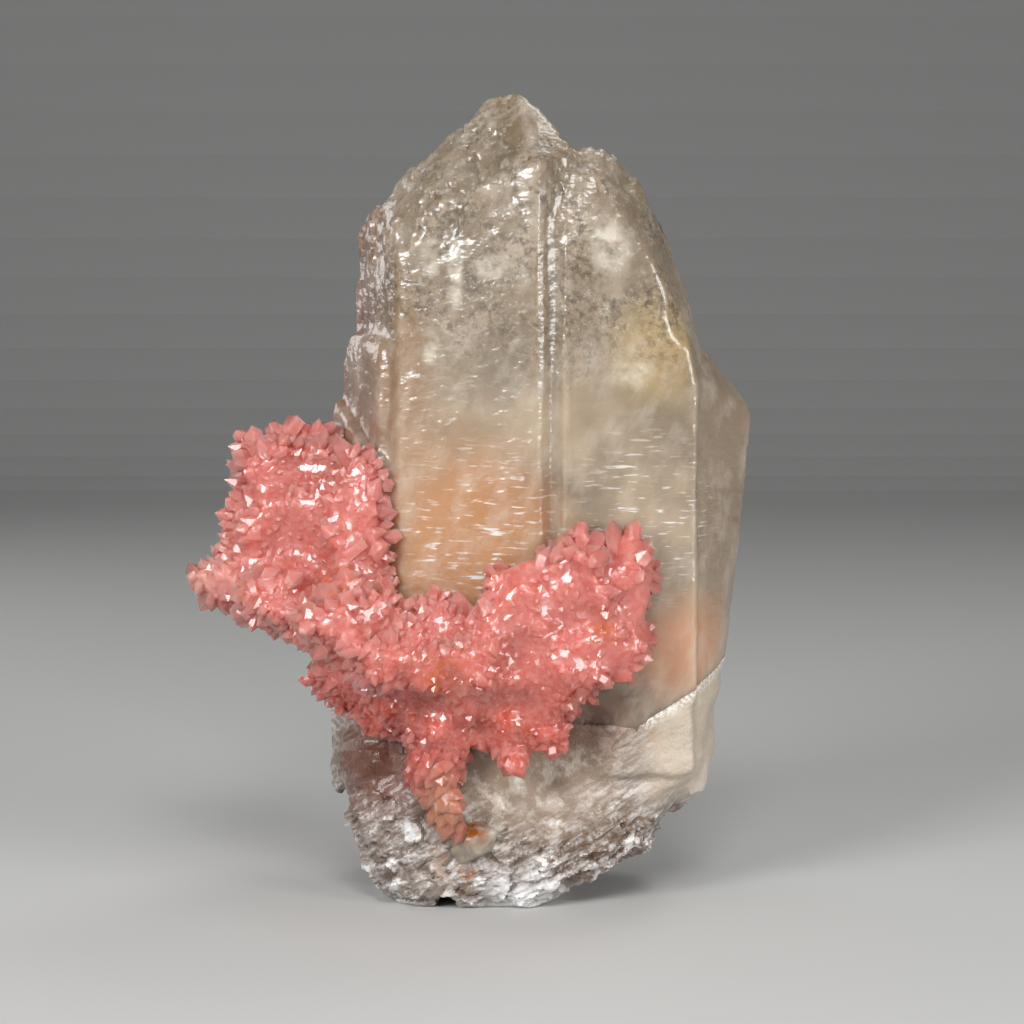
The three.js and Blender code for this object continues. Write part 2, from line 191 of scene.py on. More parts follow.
def make_piece(shape, name, material, sharp_angle):
    """The finished shape as a piece that rides on the specimen; edges past sharp_angle stay sharp."""
    mesh = bpy.data.meshes.new(name)
    shape.to_mesh(mesh)
    shape.free()
    mesh.materials.append(material)
    mesh.shade_smooth()
    mesh.set_sharp_from_angle(angle=math.radians(sharp_angle))
    piece = bpy.data.objects.new(name, mesh)
    bpy.context.scene.collection.objects.link(piece)
    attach(piece, "root")
    return piece


def softened(shape, turns, where):
    """The shape's edges rounded off in so many turns, or a share of them given by where(place in mm)."""
    shares = [(vert, where(vert.co / MM)) for vert in shape.verts]
    for turn in range(turns):
        bmesh.ops.smooth_vert(
            shape,
            verts=[vert for vert, share in shares if share > turn / turns],
            factor=0.5,
            use_axis_x=True,
            use_axis_y=True,
            use_axis_z=True,
        )


def chips(place, size, lean):
    """Height in mm of a fracture surface of flat chips of one size, each leaning its own way."""
    scaled = Vector(place) / size
    middle = noise.voronoi(scaled)[1][0]
    tilt = Vector([noise.noise(middle * 5.3 + Vector((0, 0, 9 * i))) for i in range(3)])
    return size * lean * (scaled - middle).dot(tilt)


def crystal_relief(place, normal):
    x, y, z = place
    wall = 1 - ramp(abs(normal.z), 0.3, 0.7)
    # level growth ledges in short runs, strongest low down
    run = ramp(noise.noise((x / 6, y / 6, z / 3.5 + 3)), -0.05, 0.4) * (0.3 + 0.7 * (1 - ramp(z, 80, 125)))
    line = noise.noise((x / 4.5, y / 4.5, z / 1.5))
    growth = wall * run * LEDGE_HEIGHT * line
    # the upright grooves between the two front faces
    in_band = ramp(x, 13.5, 15) * (1 - ramp(x, 20, 23)) * (1 if y < 0 else 0) * ramp(z, 55, 75)
    groove = in_band * GROOVE_DEPTH * noise.noise((x / GROOVE_PITCH, 0, z / 30)) * 2
    # the lumpy left ridge
    on_ridge = 1 - ramp(x, -17, -10)
    lumps = noise.noise((x / 3.4, y / 3.4, z / 6.5)) + 0.4 * noise.noise((x / 1.6, y / 1.6, z / 2))
    ridge = on_ridge * wall * RIDGE_BUMP * lumps
    # the hackly crown, but for the smooth face right of the tip; its lower edge rises to the notch and
    # falls after it
    crest = 136 + 0.45 * x if x < 20 else 169 - 0.75 * x
    on_crown = ramp(z + 3 * noise.noise((x / 8, y / 8, z / 8)), crest - 5, crest + 5)
    smooth_face = ramp(x, 8.5, 10.5) * (1 - ramp(x, 17, 20)) * ramp(z, 143, 149) * (1 if y < -4 else 0)
    hackly = 0.36 * chips((x, y, 0.7 * z), 7, 0.7) + 0.4 * chips(place, 2.6, 0.6) - 0.28
    hackly += 0.25 * noise.noise((x / 5, y / 5, z / 5))
    crown = on_crown * (1 - 0.9 * smooth_face) * CROWN_CHIP * hackly
    sway = 0.35 * noise.noise((x / 15, y / 15, z / 24)) + 0.14 * noise.noise((x / 5, y / 5, z / 7))
    return growth * (1 - in_band) * (1 - on_ridge) + groove + ridge + crown + sway


def ramp_along(material, place, axis, start, end):
    """0 at start and 1 at end, both in mm along one axis."""
    parts = add_node(material, "ShaderNodeSeparateXYZ", {"Vector": place})
    return add_node(
        material,
        "ShaderNodeMapRange",
        {"Value": parts.outputs[axis], "From Min": start * MM, "From Max": end * MM},
        interpolation_type="SMOOTHSTEP",
    ).outputs[0]


# Milky quartz is translucent and faintly cloudy under a glassy skin. Iron tints it honey, and the trapped
# fluid shows as a pepper of grey specks high up.
pale_quartz, pale_shader, pale_place = new_material("Pale milky quartz")
cloudy = noise_between(pale_quartz, pale_place, 18, 0.36, 0.64, detail=3, roughness=0.6)
climbing = add_node(
    pale_quartz, "ShaderNodeMapping", {"Vector": pale_place, "Rotation": (0, VEIL_LEAN, 0)}
).outputs[0]
wisps = noise_between(pale_quartz, climbing, 6, 0.48, 0.7, detail=4, roughness=0.65, stretch=(1, 1, 2))
pepper = noise_between(pale_quartz, pale_place, 1.6, 0.45, 0.62, detail=4, roughness=0.75)
pepper_patch = noise_between(pale_quartz, pale_place, 9, 0.38, 0.56, detail=2)
torn = noise_between(pale_quartz, pale_place, 4, 0.35, 0.6, detail=3)
high_up = ramp_along(pale_quartz, pale_place, "Z", 98, 122)
# the left ridge: its own pink-mauve tone, painted darker in part as shade
on_left = ramp_along(pale_quartz, pale_place, "X", -11, -21)
on_strip = ramp_along(pale_quartz, pale_place, "X", 46, 49)
honey = spot(pale_quartz, pale_place, (-1, -20, 74), (26, 44, 30))
rust = spot(pale_quartz, pale_place, (10, -20, 82), (14, 40, 10))
amber = spot(pale_quartz, pale_place, (44, -10, 52), (15, 40, 16))
# painted shade: dark brown low on the front, where the belt's shelf shades the crystal
painted_belt_shade = spot(pale_quartz, pale_place, (20, -20, 36), (26, 40, 18))
straw = spot(pale_quartz, pale_place, (38, -18, 112), (12, 30, 14))
top_face = spot(pale_quartz, pale_place, (14, -10, 157), (9, 30, 13))
# painted shade that darkens the face of the right shoulder
shoulder_shade = spot(pale_quartz, pale_place, (54, -6, 107), (9, 40, 12))
left_wall = spot(pale_quartz, pale_place, (-12, -20, 106), (9, 40, 28))
tone = add_node(
    pale_quartz, "ShaderNodeMix", {0: cloudy, 6: colour("#998974"), 7: colour("#c6b299")}, data_type="RGBA"
).outputs[2]
for code, shares in (
    ("#86765f", (high_up, 0.4)),
    # pink-mauve left ridge, partly painted shade
    ("#9c7664", (on_left, 0.8)),
    ("#cfb47c", (straw, 0.6)),
    ("#d99a62", (honey, 0.75)),
    ("#b8763f", (rust, 0.35)),
    ("#a8937f", (on_strip, 0.7)),
    ("#dfa884", (amber, 0.85)),
    # painted shade under the belt
    ("#72432c", (painted_belt_shade, 0.9)),
    ("#8b765b", (top_face, 0.85)),
    # painted shade on the right shoulder
    ("#9c8a76", (shoulder_shade, 0.8)),
    ("#a87a50", (left_wall, 0.5)),
    ("#ece0d0", (wisps, 0.4)),
    ("#463d32", (pepper, pepper_patch, high_up, 0.68)),
):
    tone = overlaid(pale_quartz, tone, code, *shares)
# pale patches where a healed crack faces the front: partly the crack's own milky veil, partly painted
# reflection
for centre, reach in (
    ((5.6, -20, 129), (5.5, 30, 3.2)),
    ((-6.4, -20, 131), (2.6, 30, 5.5)),
    ((-6.6, -20, 113), (2.6, 30, 5)),
    ((-1.6, -20, 127), (2.2, 30, 11)),
    ((33, -18, 108), (6, 30, 4)),
    ((29, -18, 133), (6, 30, 8)),
):
    patch = spot(pale_quartz, pale_place, centre, reach)
    tone = overlaid(pale_quartz, tone, "#f4ead9", patch, torn, 0.75)

# painted glints: short level dashes and crumbs painted near white as highlights
glint_dash = noise_between(pale_quartz, pale_place, 0.6, 0.6, 0.66, detail=1, stretch=(7, 7, 1))
for centre, reach in (((3, -18, 76), (24, 44, 24)), ((36, -18, 80), (20, 44, 22))):
    glint_zone = spot(pale_quartz, pale_place, centre, reach)
    tone = overlaid(pale_quartz, tone, "#fffdf8", glint_dash, torn, glint_zone)
glint_crumb = noise_between(pale_quartz, pale_place, 0.9, 0.58, 0.64, detail=3, roughness=0.7)
tone = overlaid(pale_quartz, tone, "#fffdf8", glint_crumb, torn, high_up, 0.35)
skin = noise_between(pale_quartz, pale_place, 2.0, 0.3, 0.7, detail=2, stretch=(1.6, 1.6, 1))
bump = add_node(pale_quartz, "ShaderNodeBump", {"Height": skin, "Strength": 0.4, "Distance": 0.3 * MM})
pale_quartz.node_tree.links.new(tone, pale_shader.inputs["Base Color"])
pale_quartz.node_tree.links.new(bump.outputs[0], pale_shader.inputs["Normal"])
pale_quartz.node_tree.links.new(bump.outputs[0], pale_shader.inputs["Coat Normal"])
pale_shader.inputs["Roughness"].default_value = 0.34
pale_shader.inputs["Coat Weight"].default_value = 0.6
pale_shader.inputs["Coat Roughness"].default_value = 0.13
pale_shader.inputs["Coat IOR"].default_value = QUARTZ_IOR
pale_shader.inputs["IOR"].default_value = QUARTZ_IOR
pale_shader.inputs["Transmission Weight"].default_value = 0.22
pale_shader.inputs["Subsurface Weight"].default_value = 0.75
pale_shader.inputs["Subsurface Radius"].default_value = (0.009, 0.0065, 0.005)
pale_shader.inputs["Subsurface Scale"].default_value = 1.0

crystal = in_even_squares(solid_copy("large_quartz_crystal"), CRYSTAL_SQUARE)


def edge_wear(place):
    """Worn round at the crown, a little on the walls and not at the contact."""
    return 1 if place.z > 128 + 0.3 * place.x else 0.35 * ramp(place.z, 42, 60)


def scooped(place):
    """How far back the hollow takes a place of the front, in mm; it fades out under the belt."""
    back = 0
    for (mx, my, mz), (rx, ry, rz) in HOLLOWS:
        left = 1 - ((place.x - mx) / rx) ** 2 - ((place.z - mz) / rz) ** 2
        if left > 0:
            back = max(back, my + ry * math.sqrt(left) - place.y)
    return back * (1 - ramp(place.z, *HOLLOW_FADES)) if place.y < FRONT else 0


softened(crystal, CRYSTAL_WEAR, edge_wear)
give_relief(crystal, crystal_relief)
for vert in crystal.verts:
    vert.co.y += scooped(vert.co / MM) * MM
    if vert.normal.z < -0.7 and vert.co.z < CONTACT_TOP:
        vert.co.z -= OVERLAP
crystal = make_piece(crystal, "crystal", pale_quartz, sharp_angle=32)
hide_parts("large_quartz_crystal")

# The root: the opaque lower end of the same quartz, chalk white where it is full of bubbles. It was broken
# out of its pocket, so it is hackly and splintery, with a smooth hollow in front and a smooth block on the
# right that meets the large crystal along a climbing contact.
ROOT_SQUARE = 0.46 * MM
SPLINTER_CLIMB = math.radians(30)  # of the splintery layers, up to the right
CONTACT_CLIMB = 0.61  # rise of the contact per mm to the right
CONTACT_AT = 17  # mm, its height at X = 0
ROOT_WEAR = 40  # turns of smoothing, where it is smooth
SOCKET_REACH = 2.0 * MM  # the root closes round the small crystal over this distance
SOCKET_GRIP = 0.3 * MM  # and into it by this much


def from_hollow(place):
    """1 on the hollow's wall and more outside it."""
    return min(
        Vector([(p - c) / r for p, c, r in zip(place, middle, reach)]).length for middle, reach in HOLLOWS
    )


def on_block(place):
    below_contact = 1 - ramp(place[2] - CONTACT_CLIMB * place[0], CONTACT_AT - 5, CONTACT_AT - 1.5)
    return ramp(place[0], 27, 34) * ramp(place[2], 15, 21) * below_contact


def root_wear(place):
    hollow = (1 - ramp(from_hollow(place), 1.05, 1.35)) * (1 - ramp(place.z, 32, 35))
    return max(0.12 * (1 - ramp(place.z, 30, 36)), on_block(place), hollow)


def root_relief(place, normal):
    x, y, z = place
    along = x * math.cos(SPLINTER_CLIMB) + z * math.sin(SPLINTER_CLIMB)
    across = z * math.cos(SPLINTER_CLIMB) - x * math.sin(SPLINTER_CLIMB)
    worn_lump = (1 - ramp(x, -4, 3)) * ramp(z, 17, 24)
    rough = ramp(from_hollow(place), 0.98, 1.2) * (1 - 0.9 * on_block(place)) * (1 - ramp(z, 34, 37))
    rough *= 1 - 0.65 * worn_lump
    splintered = ramp(x, 4, 14)
    broken = chips((along, y, 1.4 * across), 6, 0.5 - 0.2 * splintered) - 0.45
    broken += chips((0.7 * along, y, 1.6 * across), 2.4, 0.5)
    broken += splintered * 0.8 * noise.noise((along / 3.2, y / 2, across / 0.9))
    broken += 0.3 * noise.noise((x / 0.9, y / 0.9, z / 0.9))
    sway = 0.35 * noise.noise((x / 9, y / 9, z / 9)) * (1 - ramp(z, 34, 37))
    sway += on_block(place) * (0.9 * noise.noise((x / 6, y / 6, z / 5)) - 0.2)
    return ramp(z, 0.2, 1.2) * (rough * broken + sway)


root = in_even_squares(solid_copy("milky_quartz_root"), ROOT_SQUARE)
softened(root, ROOT_WEAR, root_wear)
raised = root.verts.layers.float.new("raised")
for vert in root.verts:
    vert[raised] = 0.5 + 0.5 * root_relief(vert.co / MM, vert.normal)
give_relief(root, root_relief)
small_crystal = solid_copy("small_clear_crystal")
small_tree = BVHTree.FromBMesh(small_crystal)
small_crystal.free()
for vert in root.verts:
    nearest, normal, _, reach = small_tree.find_nearest(vert.co)
    if reach < SOCKET_REACH:
        vert.co = nearest - normal * SOCKET_GRIP

# Chalky quartz is matt and nearly white where it is splintered. Fibrous layers leave grey streaks, iron has
# stained it brown in places, and the hollow and the block are clear enough to look creamy. Its cracks, the
# top of the hollow and the left side under the belt are painted darker as shade.
milky_quartz, milky_shader, milky_place = new_material("Chalky milky quartz")
raised = add_node(milky_quartz, "ShaderNodeAttribute", {}, attribute_name="raised").outputs["Fac"]
# painted shade: the low places of the relief are darkened brown
crease_shade = add_node(
    milky_quartz, "ShaderNodeMapRange", {"Value": raised, "From Min": 0.45, "From Max": -0.05}
).outputs[0]
climbing = add_node(
    milky_quartz, "ShaderNodeMapping", {"Vector": milky_place, "Rotation": (0, SPLINTER_CLIMB, 0)}
).outputs[0]
fibres = noise_between(milky_quartz, climbing, 0.8, 0.46, 0.6, detail=3, roughness=0.6, stretch=(5, 3, 1))
streaks = noise_between(milky_quartz, climbing, 3.4, 0.48, 0.6, detail=3, stretch=(3, 2, 1))
white_patch = noise_between(
    milky_quartz, climbing, 4.2, 0.54, 0.6, detail=4, roughness=0.65, stretch=(2, 2, 1)
)
feathers = noise_between(milky_quartz, milky_place, 4, 0.5, 0.62, detail=4, roughness=0.65)
specks = noise_between(milky_quartz, milky_place, 1.5, 0.48, 0.58, detail=3, roughness=0.65)
in_hollow = spot(milky_quartz, milky_place, (13, -18, 30), (30, 28, 20))
# painted shade at the top of the hollow, under the belt
hollow_top_shade = ramp_along(milky_quartz, milky_place, "Z", 29, 37)
right_end = ramp_along(milky_quartz, milky_place, "X", 32, 40)
block_height = ramp_along(milky_quartz, milky_place, "Z", 18, 25)
# painted shade under the belt on the left lump and at the left edge, reddened by a painted glow from the
# belt
lump_shade = spot(milky_quartz, milky_place, (-15, -16, 30), (18, 34, 17))
left_edge_shade = spot(milky_quartz, milky_place, (-22, -8, 27), (12, 30, 13))
in_band = spot(milky_quartz, milky_place, (26, -16, 14), (30, 40, 14))
foot = spot(milky_quartz, milky_place, (13, -18, 4), (13, 24, 8))
tone = add_node(
    milky_quartz,
    "ShaderNodeMix",
    {0: feathers, 6: colour("#8c7f76"), 7: colour("#b5aaa0")},
    data_type="RGBA",
).outputs[2]
for code, shares in (
    ("#7f7169", (streaks, 0.7)),
    ("#fdfaf5", (fibres, 0.4)),
    ("#fffdfa", (white_patch, 0.7)),
    # painted shade and belt glow on the left
    ("#71422f", (lump_shade, 0.95)),
    ("#633627", (left_edge_shade, 0.6)),
    ("#ffffff", (foot, 0.8)),
    # painted shade in the cracks
    ("#5f4735", (crease_shade, 0.7)),
    ("#6b4d33", (in_band, specks, 0.85)),
    ("#99836d", (in_hollow, 0.95)),
    ("#e6dccf", (in_hollow, feathers, 0.55)),
    # painted shade under the belt
    ("#72432c", (in_hollow, hollow_top_shade, 0.9)),
    ("#cabaa5", (right_end, block_height, 0.85)),
):
    tone = overlaid(milky_quartz, tone, code, *shares)
# iron stains and white patches, and painted shade at the lower left edge and under the arch of the foot
for centre, reach, strength, code in (
    ((-12, -18, 14), (4, 20, 9), 0.8, "#ffffff"),
    ((-5, -18, 7), (5, 16, 5), 0.8, "#f2e9de"),
    # painted shade at the lower left edge
    ((-26, -10, 21), (6, 20, 8), 0.9, "#7a4526"),
    ((-1, -20, 10), (7, 16, 8), 0.95, "#9a5a1c"),
    # painted shadow under the arch of the foot
    ((-6, -14, 2), (12, 30, 5), 0.9, "#3c2716"),
    ((35, -18, 38), (6, 20, 8), 0.8, "#c08a4c"),
):
    stain = spot(milky_quartz, milky_place, centre, reach)
    tone = overlaid(milky_quartz, tone, code, stain, feathers, strength)
# sugary white grains along the climbing part of the contact
from_contact = add_node(
    milky_quartz,
    "ShaderNodeVectorMath",
    {0: milky_place, 1: (-CONTACT_CLIMB, 0, 1)},
    operation="DOT_PRODUCT",
)
near_contact = add_node(
    milky_quartz,
    "ShaderNodeMapRange",
    {
        "Value": from_contact.outputs["Value"],
        "From Min": (CONTACT_AT - 3.5) * MM,
        "From Max": CONTACT_AT * MM,
    },
).outputs[0]
grains = noise_between(milky_quartz, milky_place, 0.7, 0.46, 0.54, detail=2)
right_part = ramp_along(milky_quartz, milky_place, "X", 34, 38)
tone = overlaid(milky_quartz, tone, "#fffdfa", grains, near_contact, right_part)
grit = noise_between(milky_quartz, milky_place, 0.7, 0.3, 0.7, detail=2, roughness=0.7)
bump = add_node(milky_quartz, "ShaderNodeBump", {"Height": grit, "Strength": 0.45, "Distance": 0.3 * MM})
milky_quartz.node_tree.links.new(tone, milky_shader.inputs["Base Color"])
milky_quartz.node_tree.links.new(bump.outputs[0], milky_shader.inputs["Normal"])
milky_shader.inputs["Roughness"].default_value = 0.4
milky_shader.inputs["IOR"].default_value = QUARTZ_IOR
milky_shader.inputs["Coat Weight"].default_value = 0.35
milky_shader.inputs["Coat Roughness"].default_value = 0.15

root = make_piece(root, "root_block", milky_quartz, sharp_angle=32)
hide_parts("milky_quartz_root")

# The belt: a crust of pink quartz crystals that grew later over the large one. Each is six-sided with a
# blunt point and stands on the crust; they are so closely packed that they have grown into one another.
# Their tips are clearer than their roots, and iron has stained the crust orange in places.
WIDTH = (2.0, 5.0)  # mm, from the patches of small crystals to those of large ones
STOUT_WIDTH = (4.6, 5.8)
STOUT_SHARE = 0.04
PATCH = 15  # mm across a patch of crystals of one size
LENGTH_PER_WIDTH = (1.1, 1.8)
PACKING = 0.5  # distance between two crystals per mm of their mean width
LEAN = 0.3
STALK_TOP = (31, 37)  # mm, the crystals hang down below the first height and stand freely above the second
RIM_TURN = (0.35, 0.8)  # share of the crust's normal towards front or back, on a rim and on a broad side
ROOTED = (0.84, 0.34)  # share of a crystal's length in the crust, on its broad sides and on its rims
FORMS = 12
CRUST_SQUARE = 1.0 * MM
CREASE = 1.7 * MM  # creases narrower than twice this are grown over
CRUST_DEPTH = 1.1 * MM  # the crust under the crystals lies this far inside the CAD solid
SEAT = 0.5 * MM  # how far it grows into the quartz that carries it
SEAT_REACH = 1.6 * MM  # and from how near
SKY_RAYS = 14
SKY_REACH = 12 * MM
SKY_LIFT = 0.3 * MM  # the rays start this far off the skin
RAY_TURN = 2.4  # radians from each ray to the next, so that they spread evenly
SLIVER = 0.002 * MM  # edges shorter than this are closed up after joining
CRUMB = 40  # vertices; a loose bit with fewer is dropped
BODY_GLOW = 0.7  # how far the light under the skin follows the crust and not the single faces


def crystal_form(chance):
    """A six-sided crystal 1 wide and 1 long, its foot at the origin, as a mesh."""
    form = bmesh.new()
    point = chance.uniform(0.28, 0.42)
    bmesh.ops.create_cone(
        form,
        cap_ends=True,
        segments=6,
        radius1=0.4,
        radius2=0.5,
        depth=1 - point,
        matrix=Matrix.Translation((0, 0, (1 - point) / 2)),
    )
    top = max(form.faces, key=lambda face: face.calc_center_median().z)
    tip = bmesh.ops.poke(form, faces=[top])["verts"][0]
    tip.co = (chance.uniform(-0.2, 0.2), chance.uniform(-0.2, 0.2), 1)
    for vert in form.verts:
        if vert is not tip and vert.co.z > 0.1:
            vert.co.z += chance.uniform(-0.08, 0.08)
    mesh = bpy.data.meshes.new("form")
    form.to_mesh(mesh)
    form.free()
    return mesh


def is_inside(tree, place):
    """True if place lies inside a closed shape."""
    nearest, normal, _, _ = tree.find_nearest(place)
    return (place - nearest).dot(normal) < 0


def joined(shape, additions):
    """The shape and the additions, all closed, as one skin without the faces that lie inside it."""
    carriers = []
    for part in [shape, *additions]:
        mesh = bpy.data.meshes.new("part")
        part.to_mesh(mesh)
        part.free()
        carriers.append(bpy.data.objects.new("part", mesh))
        bpy.context.scene.collection.objects.link(carriers[-1])
    for other in carriers[1:]:
        join = carriers[0].modifiers.new("Join", "BOOLEAN")
        join.operation = "UNION"
        join.solver = "MANIFOLD"
        join.object = other
    whole = carriers[0].evaluated_get(bpy.context.evaluated_depsgraph_get())
    skin = bmesh.new()
    skin.from_mesh(whole.to_mesh())
    whole.to_mesh_clear()
    for carrier in carriers:
        bpy.data.objects.remove(carrier)
    return skin


def drop_crumbs(shape):
    """Takes away the slivers and the small loose bits that joining leaves."""
    bmesh.ops.dissolve_degenerate(shape, dist=SLIVER, edges=shape.edges)
    unseen = set(shape.verts)
    crumbs = []
    while unseen:
        island = [unseen.pop()]
        for vert in island:
            for edge in vert.link_edges:
                other = edge.other_vert(vert)
                if other in unseen:
                    unseen.remove(other)
                    island.append(other)
        if len(island) < CRUMB:
            crumbs += island
    bmesh.ops.delete(shape, geom=crumbs, context="VERTS")


def open_sky(tree, place, outward):
    """The share of the sky that a place sees, from 0 in a deep recess to 1 on a free tip."""
    seen = 0
    for i in range(SKY_RAYS):
        rise = (i + 0.5) / SKY_RAYS
        flat = math.sqrt(1 - rise * rise)
        ray = Vector((flat * math.sin(RAY_TURN * i), flat * math.cos(RAY_TURN * i), rise))
        ray = ray if ray.dot(outward) > 0 else -ray
        seen += tree.ray_cast(place + ray * SKY_LIFT, ray, SKY_REACH)[0] is None
    return seen / SKY_RAYS


host_trees = []
for name in ("large_quartz_crystal", "milky_quartz_root", "small_clear_crystal"):
    host = solid_copy(name)
    host_trees.append(BVHTree.FromBMesh(host))
    host.free()


def moved_out(shape, distance):
    """The shape grown by distance along its normals, in even squares again and smoothed a little."""
    shape.normal_update()
    for vert, way in [(vert, vert.normal.copy()) for vert in shape.verts]:
        vert.co += way * distance
    shape = in_even_squares(shape, CRUST_SQUARE)
    softened(shape, 3, lambda place: 1)
    return shape


def is_seated(place, normal):
    """True where the crust lies against the quartz that carries it."""
    for tree in host_trees:
        nearest, _, _, reach = tree.find_nearest(place)
        faces_it = (nearest - place).dot(normal) > 0.3 * reach
        if reach < SEAT_REACH and faces_it or is_inside(tree, place):
            return True
    return False


crust = in_even_squares(solid_copy("rose_quartz_belt"), CRUST_SQUARE)
crust = moved_out(crust, CREASE)
crust = moved_out(crust, -CREASE)
crust.normal_update()
moves = []
for vert in crust.verts:
    moves.append(vert.normal * (SEAT if is_seated(vert.co, vert.normal) else -CRUST_DEPTH))
for vert, move in zip(crust.verts, moves):
    vert.co += move
crust = in_even_squares(crust, CRUST_SQUARE)
crust.normal_update()
crust_tree = BVHTree.FromBMesh(crust)

chance = random.Random(5)
forms = [crystal_form(chance) for _ in range(FORMS)]
standing = {}
groups = []
spots = list(crust.verts)
chance.shuffle(spots)
low, high = cad_box
for spot_vert in spots:
    is_stout = chance.random() < STOUT_SHARE
    at = spot_vert.co / MM
    hanging = 1 - ramp(at.z, *STALK_TOP)
    patch = max(ramp(noise.noise(at / PATCH), -0.4, 0.4) * ramp(at.z, 36, 60), 0.8 * hanging)
    width = WIDTH[0] + (WIDTH[1] - WIDTH[0]) * (0.2 + 0.8 * patch) * chance.uniform(0.45, 1)
    width = chance.uniform(*STOUT_WIDTH) if is_stout else width
    length = width * chance.uniform(*LENGTH_PER_WIDTH)
    scatter = Vector([chance.gauss(0, LEAN) for _ in range(3)])
    outward = (spot_vert.normal + scatter + Vector((0, 0, -hanging))).normalized()
    cell = [math.floor(c / STOUT_WIDTH[1]) for c in at]
    near = [
        other
        for dx in (-1, 0, 1)
        for dy in (-1, 0, 1)
        for dz in (-1, 0, 1)
        for other in standing.get((cell[0] + dx, cell[1] + dy, cell[2] + dz), ())
    ]
    if any((at - other).length < PACKING * (width + other_width) / 2 for other, other_width in near):
        continue
    on_rim = 1 - ramp(abs(spot_vert.normal.y), *RIM_TURN)
    in_open = ramp(open_sky(crust_tree, spot_vert.co, spot_vert.normal), 0.5, 0.9)
    free = max(on_rim * (1 - 0.6 * hanging), 0.35 * hanging) * in_open
    rooted = (ROOTED[0] + (ROOTED[1] - ROOTED[0]) * free) * length * MM
    foot = spot_vert.co - outward * rooted
    tip = foot + outward * length * MM
    if any(is_inside(tree, tip) for tree in host_trees):
        continue
    if any(t < a or t > b for t, a, b in zip(tip, low, high)):
        continue
    standing.setdefault(tuple(cell), []).append((at, width))
    turn = outward.to_track_quat("Z", "Y").to_matrix().to_4x4()
    turn @= Matrix.Rotation(chance.uniform(0, math.pi / 3), 4, "Z")
    size = Matrix.Diagonal((width * MM, width * chance.uniform(0.75, 1) * MM, length * MM, 1))
    form = chance.choice(forms)
    move = Matrix.Translation(foot) @ turn @ size
    # crystals that don't touch one another share a group, so that a whole group joins the skin at once
    middle = (foot + tip) / 2
    reach = 0.5 * math.hypot(length, width) * MM
    for group, members in groups:
        if all((middle - other).length > reach + other_reach for other, other_reach in members):
            break
    else:
        group, members = bmesh.new(), []
        groups.append((group, members))
    members.append((middle, reach))
    form.transform(move)
    group.from_mesh(form)
    form.transform(move.inverted())

belt = joined(crust, [group for group, _ in groups])
drop_crumbs(belt)
for vert in belt.verts:
    vert.co = [min(max(c, a), b) for c, a, b in zip(vert.co, low, high)]
belt.normal_update()
belt_tree = BVHTree.FromBMesh(belt)
sky = belt.verts.layers.float.new("sky")
tip_share = belt.verts.layers.float.new("tip")
body_way = belt.verts.layers.float_vector.new("body_way")
for vert in belt.verts:
    vert[sky] = open_sky(belt_tree, vert.co, vert.normal)
    nearest, normal, _, _ = crust_tree.find_nearest(vert.co)
    vert[tip_share] = ramp((vert.co - nearest).dot(normal) / MM, 0.1, 2.4)
    vert[body_way] = normal

# Pink quartz is glassy and translucent, so light spreads under its skin and the crust glows as one body,
# with the crystal faces showing in its gloss. It is painted deeper and more orange as shade in recesses and
# low down.
rose_quartz, rose_shader, rose_place = new_material("Pink quartz crystals")
sky = add_node(rose_quartz, "ShaderNodeAttribute", {}, attribute_name="sky").outputs["Fac"]
tip = add_node(rose_quartz, "ShaderNodeAttribute", {}, attribute_name="tip").outputs["Fac"]
body_way = add_node(rose_quartz, "ShaderNodeAttribute", {}, attribute_name="body_way").outputs["Vector"]
drift = noise_between(rose_quartz, rose_place, 9, 0.38, 0.62, detail=2)
grain = noise_between(rose_quartz, rose_place, 1.3, 0.4, 0.65, detail=3)
specks = noise_between(rose_quartz, rose_place, 1.8, 0.47, 0.6, detail=4)
# painted shade: recesses that see little sky get the deep red, open places the lighter pink
openness_shade = add_node(
    rose_quartz, "ShaderNodeMapRange", {"Value": sky, "From Min": 0.05, "From Max": 0.6}
).outputs[0]
# painted shade: the belt is deeper and more orange low down
low_shade = ramp_along(rose_quartz, rose_place, "Z", 60, 38)
on_left = ramp_along(rose_quartz, rose_place, "X", -2, -16)
on_stalk = spot(rose_quartz, rose_place, (-4, -26, 20), (9, 14, 14))
fan_top = ramp_along(rose_quartz, rose_place, "Z", 72, 92)
fan_tip = spot(rose_quartz, rose_place, (-53, -20, 66), (14, 30, 10))
tone = add_node(
    rose_quartz,
    "ShaderNodeMix",
    {0: openness_shade, 6: colour("#cd4d3a"), 7: colour("#d87568")},
    data_type="RGBA",
).outputs[2]
for code, shares in (
    # painted shade low down, darkest on the left
    ("#c94a2c", (low_shade, 0.8)),
    ("#ab2c12", (low_shade, on_left, 0.8)),
    ("#b85f58", (fan_top, 0.5)),
    ("#f0b4a6", (fan_tip, 0.6)),
    ("#dc7672", (drift, 0.4)),
    ("#f4b4a8", (grain, 0.3)),
    ("#f0b4aa", (tip, 0.3)),
    ("#a5767a", (tip, grain, 0.5)),
    ("#b98266", (on_stalk, 0.85)),
):
    tone = overlaid(rose_quartz, tone, code, *shares)
for centre, reach in (
    ((-25, -20, 67), (6, 14, 5)),
    ((-4, -34, 50), (8, 16, 8)),
    ((28, -26, 59), (5, 14, 5)),
):
    stain = spot(rose_quartz, rose_place, centre, reach)
    tone = overlaid(rose_quartz, tone, "#d4682c", stain, specks, 0.8)
frost = noise_between(rose_quartz, rose_place, 0.8, 0.3, 0.7, detail=1)
face_way = add_node(rose_quartz, "ShaderNodeNewGeometry", {}).outputs["Normal"]
